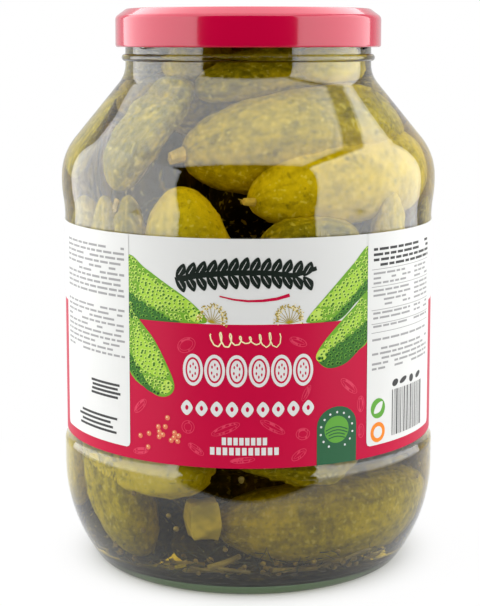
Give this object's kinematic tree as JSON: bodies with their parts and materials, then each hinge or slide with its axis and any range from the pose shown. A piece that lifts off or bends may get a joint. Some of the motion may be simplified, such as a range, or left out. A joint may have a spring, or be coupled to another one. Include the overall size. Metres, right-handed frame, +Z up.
{
  "type": "pickle jar",
  "caption": "Large round clear glass jar of whole gherkins in brine, with a wrap-round paper label on a recessed panel and a twist-off metal lid",
  "frame": {"origin": "centre of the circle that the jar stands on, at the height of the surface under it", "axes": "+Z up along the jar's axis, -Y towards the middle of the label's front panel, +X to the right seen from the front"},
  "size_m": [0.1442, 0.1442, 0.2116],
  "materials": {
    "glass": "clear, smooth",
    "lid": "gloss crimson enamel",
    "label": "satin coated paper, white over crimson",
    "brine": "clear pale green-yellow liquid with gherkins"
  },
  "bodies": {
    "root": {"glass_jar": "glass", "lid": "lid", "label": "label", "brine": "brine"}
  },
  "joints": []
}
